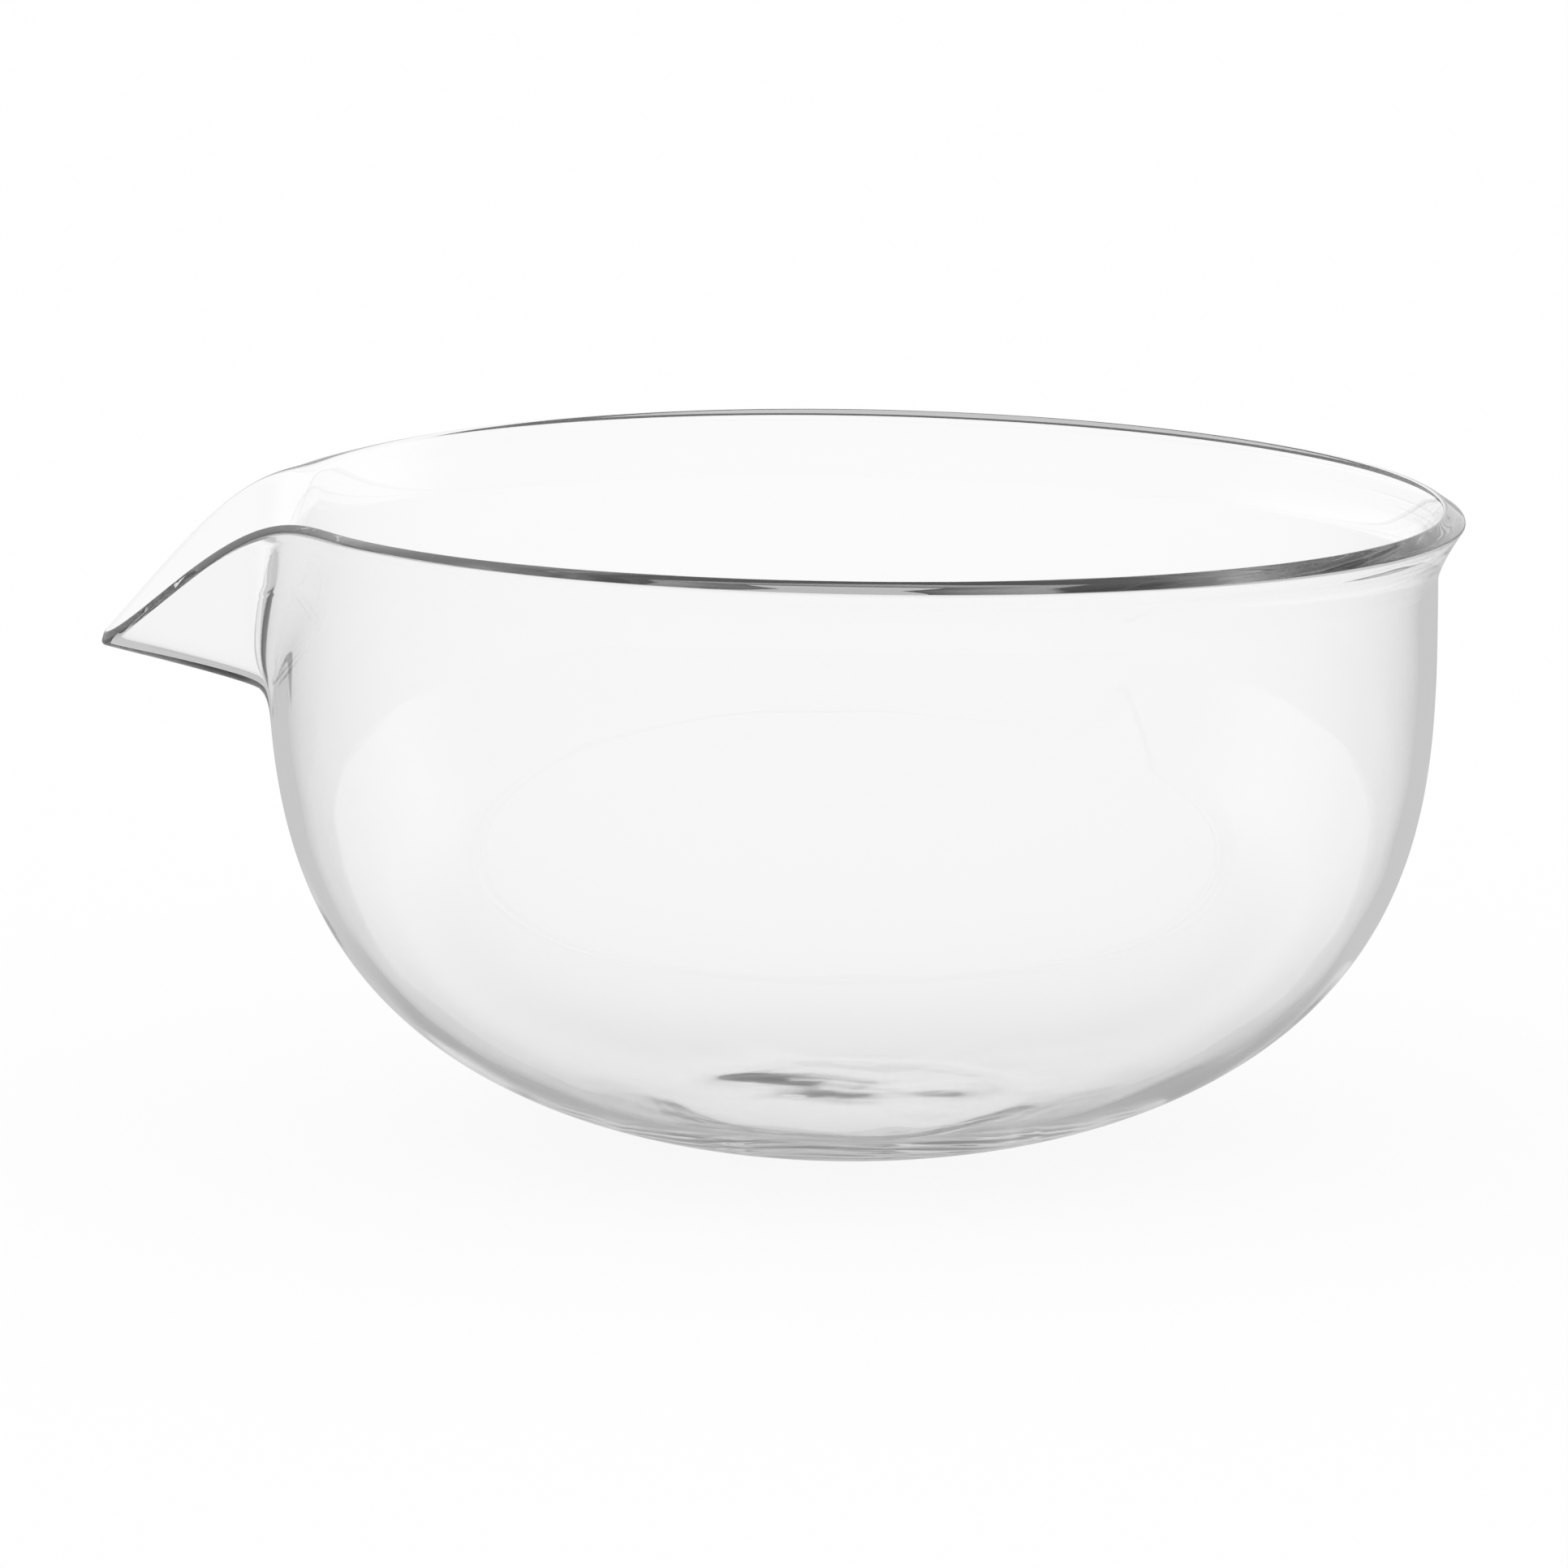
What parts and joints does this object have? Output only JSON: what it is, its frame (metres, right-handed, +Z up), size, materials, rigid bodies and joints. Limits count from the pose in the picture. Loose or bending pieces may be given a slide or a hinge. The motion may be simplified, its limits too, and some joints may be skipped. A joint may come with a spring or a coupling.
{
  "type": "spouted bowl",
  "caption": "Round clear-glass matcha bowl with a small flat base, a flared fire-polished lip and a pointed spout drawn out of the lip, for whisking and pouring.",
  "frame": {"origin": "centre of the flat base, on the axis of the round body", "axes": "+Z up along the body's axis, -X towards the spout's tip, XZ is the mirror plane"},
  "size_m": [0.1397, 0.1256, 0.0667],
  "materials": {
    "clear_glass": "gloss"
  },
  "bodies": {
    "root": {"glass_bowl": "clear_glass"}
  },
  "joints": []
}
